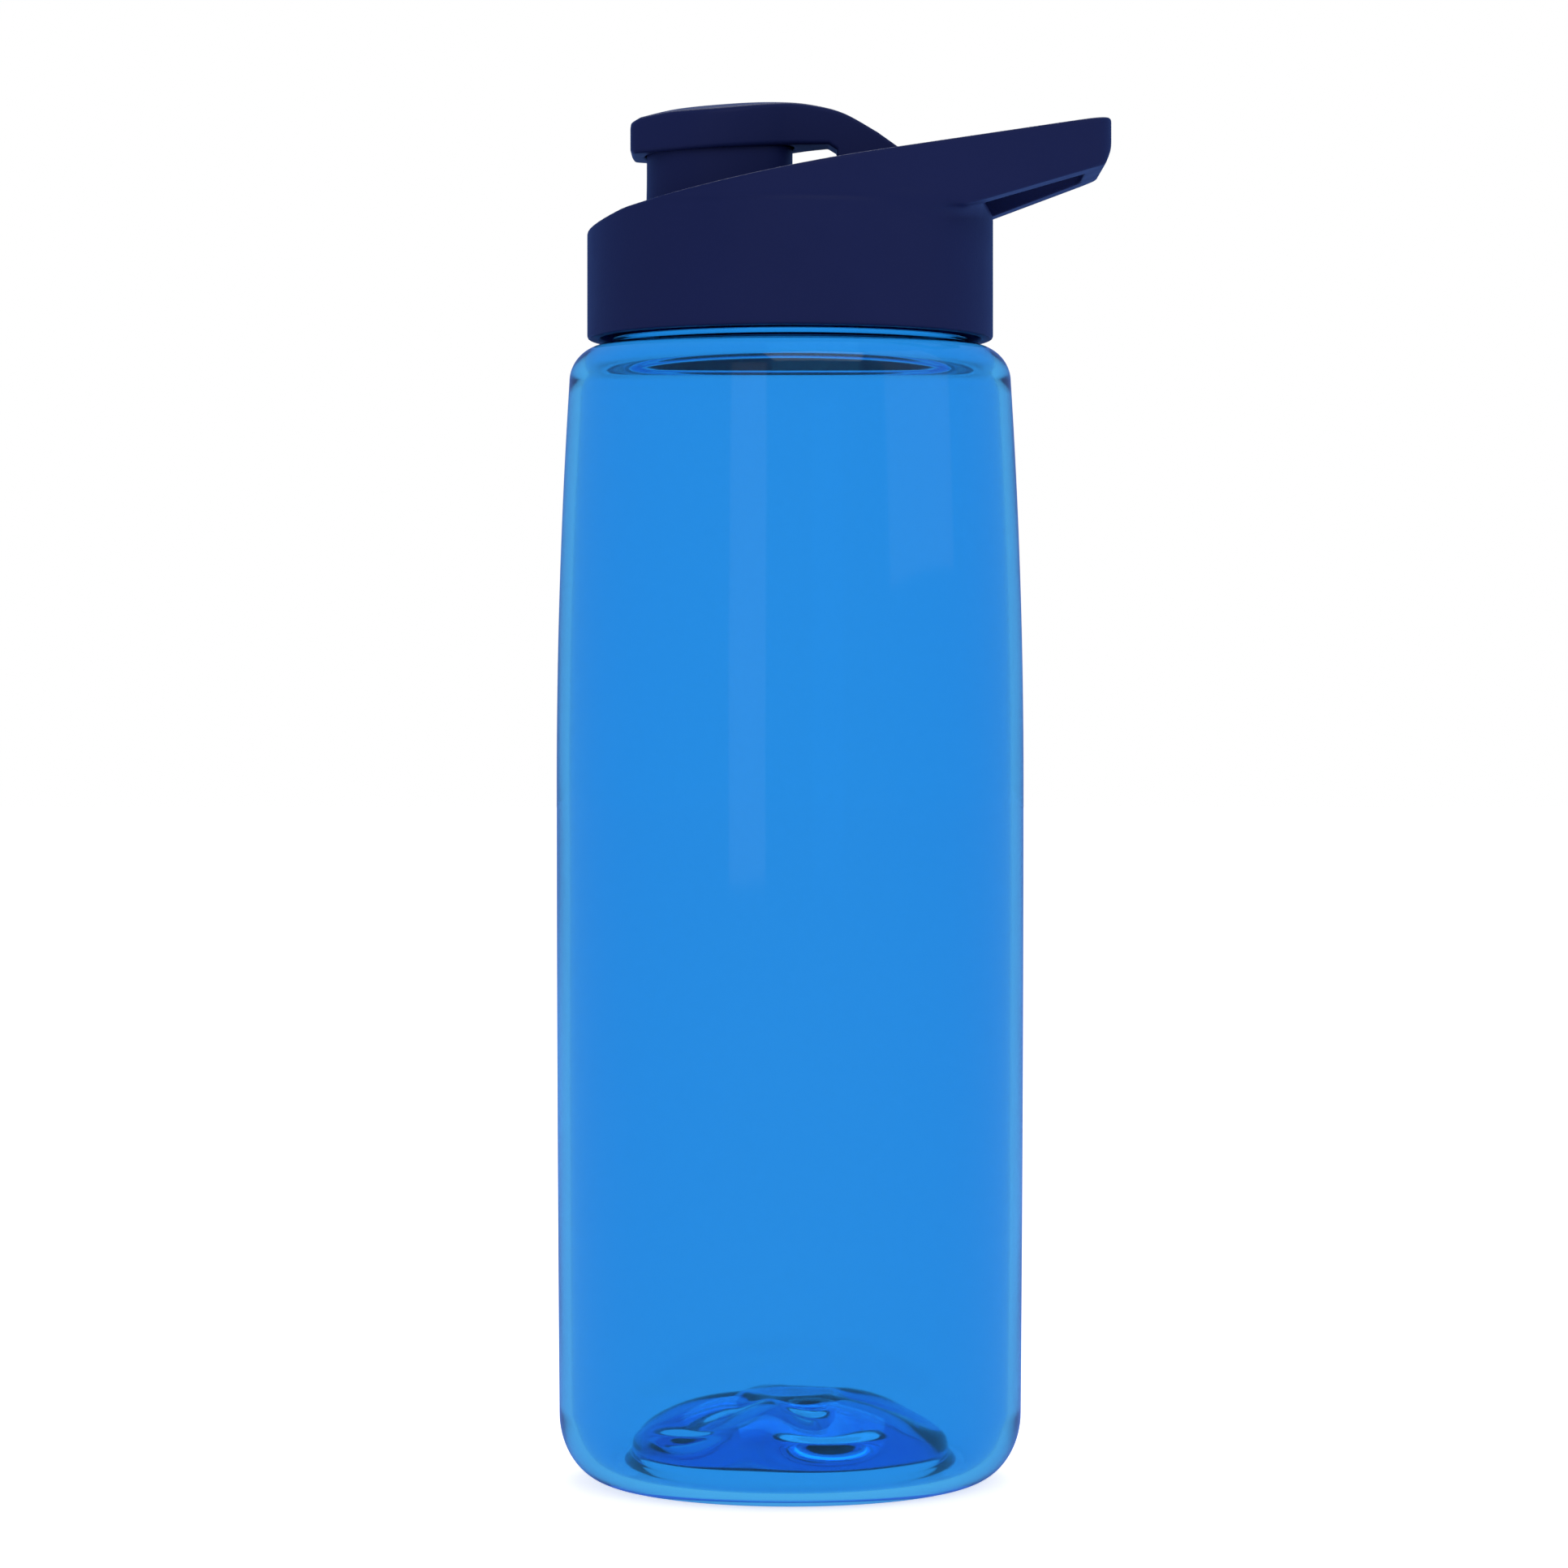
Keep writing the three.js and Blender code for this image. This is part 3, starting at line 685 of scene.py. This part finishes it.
def cap_plan():
    """From above: the arm, the round head, and the thumb's blunt end joined to the head by tangents."""
    arm_end = HINGE_X + BARREL_R + 1
    neck = math.radians(HEAD_NECK)
    start = (SPOUT_X + HEAD_R * math.cos(neck), HEAD_R * math.sin(neck))
    corner_x = start[0] + (start[1] - ARM_HALF) * math.tan(neck)
    bend = [(arm_end - ARM_STRAIGHT, ARM_HALF), (corner_x, ARM_HALF), start]
    fillet = []
    for t in np.linspace(0, 1, 13):
        a, b, c = (np.array(p) for p in bend)
        fillet.append(tuple((1 - t) ** 2 * a + 2 * t * (1 - t) * b + t * t * c))
    corner = (THUMB_X + THUMB_R, THUMB_HALF - THUMB_R)
    apart = math.hypot(corner[0] - SPOUT_X, corner[1])
    lean = math.atan2(corner[1], corner[0] - SPOUT_X) - math.acos((HEAD_R - THUMB_R) / apart)
    tangent = math.degrees(lean)
    upper = [
        (arm_end, ARM_HALF),
        *fillet,
        *arc(SPOUT_X, 0, HEAD_R, HEAD_R, HEAD_NECK + 3, tangent, 40),
        *arc(*corner, THUMB_R, THUMB_R, tangent, 180, 10),
    ]
    return mirrored(upper)


def cap_field(x, y, z):
    arch = CAP_ARCH * y * y * ramp(z, HINGE_Z + BARREL_R, SEAL_Z)
    side = outline_distance(cap_side(), x, z + arch)
    plan = outline_distance(cap_plan(), x, y)
    edge = 0.75 - 0.3 * ramp(x, 2, 12)
    made = meet(side, plan, edge)
    r = np.hypot(x - SPOUT_X, y)
    made = cut(made, meet(r - SEAL_R, z - SEAL_Z, 0.5), 0.3)
    made = join(made, meet(meet(r - STUD_R, SEAL_Z - 2.1 - z, 0.3), z - SEAL_Z - 1), 0.2)
    return cut(made, np.hypot(x - HINGE_X, z - HINGE_Z) - PIN_BORE_R, 0.15)


def flip_cap():
    box = (
        (THUMB_X, -HEAD_R, low("flip_cap", 2)),
        (HINGE_X + BARREL_R, HEAD_R, high("flip_cap", 2)),
    )
    return moulded("cap_shell", cap_field, box, 0.22, 90_000)


# ------------------------------------------------------------------ materials
def new_material(name):
    material = bpy.data.materials.new(name)
    material.use_nodes = True
    tree = material.node_tree
    return material, tree, tree.nodes["Principled BSDF"]


def add(tree, kind, **values):
    """A node with its inputs set by name."""
    node = tree.nodes.new(kind)
    for key, value in values.items():
        node.inputs[key.replace("_", " ")].default_value = value
    return node


def grain(tree, scale, detail=3.0):
    """Noise fixed to the object, so that it doesn't slide."""
    place = tree.nodes.new("ShaderNodeTexCoord")
    noise = add(tree, "ShaderNodeTexNoise", Scale=scale, Detail=detail)
    tree.links.new(place.outputs["Object"], noise.inputs["Vector"])
    return noise


def mapped(tree, value, start, end):
    node = tree.nodes.new("ShaderNodeMapRange")
    tree.links.new(value, node.inputs["Value"])
    node.inputs["To Min"].default_value = start
    node.inputs["To Max"].default_value = end
    return node.outputs["Result"]


def mixed(tree, share, a, b):
    """Colour a where share is 0 and b where it is 1; each is a colour or another node's output."""
    mix = tree.nodes.new("ShaderNodeMix")
    mix.data_type = "RGBA"
    tree.links.new(share, mix.inputs["Factor"])
    for socket, colour in (("A", a), ("B", b)):
        if isinstance(colour, tuple):
            mix.inputs[socket].default_value = (*colour, 1)
        else:
            tree.links.new(colour, mix.inputs[socket])
    return mix.outputs["Result"]


def bumped(tree, shader, value, distance, strength=1.0):
    bump = add(tree, "ShaderNodeBump", Strength=strength, Distance=distance)
    tree.links.new(value, bump.inputs["Height"])
    tree.links.new(bump.outputs["Normal"], shader.inputs["Normal"])


def moulded_plastic(name, dark, light, roughness, specular):
    """Satin plastic: a fine mould grain, a faint flow in the colour, and uneven gloss."""
    material, tree, shader = new_material(name)
    flow = grain(tree, 55.0, 4.0)
    tree.links.new(mixed(tree, flow.outputs["Fac"], dark, light), shader.inputs["Base Color"])
    wear = grain(tree, 220.0, 2.0)
    gloss = mapped(tree, wear.outputs["Fac"], roughness - 0.06, roughness + 0.06)
    tree.links.new(gloss, shader.inputs["Roughness"])
    texture = grain(tree, 2600.0, 2.0)
    bumped(tree, shader, texture.outputs["Fac"], 0.00004, 0.35)
    shader.inputs["Specular IOR Level"].default_value = specular
    return material


def clear_plastic(name, tint, deep_tint, density):
    """Clear tinted copolyester: glossy, slightly wavy from moulding, and deeper where it is thicker."""
    material, tree, shader = new_material(name)
    shader.inputs["Base Color"].default_value = (*tint, 1)
    shader.inputs["Transmission Weight"].default_value = 1.0
    shader.inputs["IOR"].default_value = 1.5
    haze = grain(tree, 40.0)
    tree.links.new(mapped(tree, haze.outputs["Fac"], 0.02, 0.07), shader.inputs["Roughness"])
    wave = grain(tree, 30.0, 1.0)
    bumped(tree, shader, wave.outputs["Fac"], 0.0004, 0.25)
    inside = add(tree, "ShaderNodeVolumeAbsorption", Color=(*deep_tint, 1), Density=density)
    tree.links.new(inside.outputs["Volume"], tree.nodes["Material Output"].inputs["Volume"])
    return material


def steel(name):
    material, tree, shader = new_material(name)
    shader.inputs["Base Color"].default_value = (0.6, 0.6, 0.62, 1)
    shader.inputs["Metallic"].default_value = 1.0
    drawn = grain(tree, 900.0, 2.0)
    tree.links.new(mapped(tree, drawn.outputs["Fac"], 0.22, 0.4), shader.inputs["Roughness"])
    bumped(tree, shader, drawn.outputs["Fac"], 0.00003, 0.4)
    return material


NAVY = moulded_plastic("navy_plastic", (0.0102, 0.0172, 0.086), (0.012, 0.0196, 0.101), 0.42, 0.12)
SILICONE = moulded_plastic("navy_silicone", (0.009, 0.014, 0.05), (0.011, 0.017, 0.06), 0.62, 0.15)
CLEAR = clear_plastic("clear_blue", (0.171, 0.575, 0.899), (0.017, 0.693, 0.941), 180.0)
STEEL = steel("pin_steel")


# ------------------------------------------------------------------ the object
PIECES = [
    (bottle, CLEAR, "bottle", "bottle_body", "clear_body"),
    (screw_lid, NAVY, "lid", "screw_lid", "lid_plastic"),
    (drink_spout, NAVY, "lid", "drink_spout", "lid_plastic"),
    (hinge_pin, STEEL, "lid", "hinge_pin", "pin_steel"),
    (neck_gasket, SILICONE, "seal", "neck_gasket", "silicone"),
    (flip_cap, NAVY, "cap", "flip_cap", "lid_plastic"),
    (cap_plug, SILICONE, "cap", "cap_plug", "silicone"),
]

for make, material, body, node, material_slot in PIECES:
    piece = make()
    piece.data.materials.append(material)
    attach(piece, body)
    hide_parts(node)


# ------------------------------------------------------------------ studio
WORLD_EVEN = (0.5, 0.5, 0.5)  # the world's light on the surfaces
MIRRORED = (0.1, 0.2, 0.55)  # the world and the floor, to rays that reflect off the object
FLOOR_GLOW = 0.7  # the floor's own brightness, times the colours below
FLOOR_THROUGH = (1.4, 1.4, 1.4)  # as seen through the bottle, as bright as the world behind it
FLOOR_LIT = (0.1, 0.1, 0.1)  # its light on the surfaces


def by_ray(tree, seen, lit, through, mirrored):
    """A colour as seen by the camera, as light, through the clear bottle, and mirrored in the object."""
    rays = tree.nodes.new("ShaderNodeLightPath")
    colour = mixed(tree, rays.outputs["Is Glossy Ray"], lit, mirrored)
    colour = mixed(tree, rays.outputs["Is Transmission Ray"], colour, through)
    return mixed(tree, rays.outputs["Is Camera Ray"], colour, seen)


def studio_world():
    """White to the camera and through the clear bottle, even to surfaces, and cool where it mirrors."""
    world = bpy.data.worlds.new("studio")
    bpy.context.scene.world = world
    world.use_nodes = True
    tree = world.node_tree
    white = (1, 1, 1)
    colour = by_ray(tree, white, WORLD_EVEN, white, MIRRORED)
    tree.links.new(colour, tree.nodes["Background"].inputs["Color"])


def floor():
    reach = 6.0
    mesh = bpy.data.meshes.new("floor")
    corners = [(-reach, -reach, 0), (reach, -reach, 0), (reach, reach, 0), (-reach, reach, 0)]
    mesh.from_pydata(corners, [], [(0, 1, 2, 3)])
    made = bpy.data.objects.new("floor", mesh)
    bpy.context.scene.collection.objects.link(made)
    material, tree, shader = new_material("pale_floor")
    pale = (0.9, 0.9, 0.9)
    tree.links.new(by_ray(tree, pale, pale, (0, 0, 0), MIRRORED), shader.inputs["Base Color"])
    glow = by_ray(tree, (1, 1, 1), FLOOR_LIT, FLOOR_THROUGH, MIRRORED)
    tree.links.new(glow, shader.inputs["Emission Color"])
    shader.inputs["Emission Strength"].default_value = FLOOR_GLOW
    shader.inputs["Roughness"].default_value = 1.0
    shader.inputs["Specular IOR Level"].default_value = 0.0
    mesh.materials.append(material)


def soft_light(name, place, size, power):
    light = bpy.data.lights.new(name, "AREA")
    light.shape = "RECTANGLE"
    light.size, light.size_y = size
    light.energy = power
    made = bpy.data.objects.new(name, light)
    made.location = place
    middle = Vector((0, 0, 0.12))
    made.rotation_euler = (middle - Vector(place)).to_track_quat("-Z", "Y").to_euler()
    bpy.context.scene.collection.objects.link(made)


def camera():
    """Level with the middle of the bottle, at the distance that its perspective shows."""
    distance = 0.8
    eye_z = 0.124
    aim_x = (AXIS_X - 1.0) * MM
    lens = bpy.data.cameras.new("camera")
    lens.lens = 112.5
    lens.sensor_width = 36
    lens.shift_y = -0.042
    made = bpy.data.objects.new("camera", lens)
    made.location = (aim_x, -distance, eye_z)
    made.rotation_euler = (math.radians(90), 0, 0)
    bpy.context.scene.collection.objects.link(made)
    bpy.context.scene.camera = made


studio_world()
floor()
soft_light("key", (0.3, -1.15, 1.1), (1.2, 0.8), 2.6)
soft_light("side", (1.3, -0.5, 0.9), (1.2, 1.4), 1)
soft_light("strip", (-0.43, -1.12, 0.3), (0.38, 0.5), 0.15)
soft_light("back", (0, 0.75, 1.15), (0.9, 0.5), 4)
camera()
bpy.context.scene.view_settings.view_transform = "Standard"
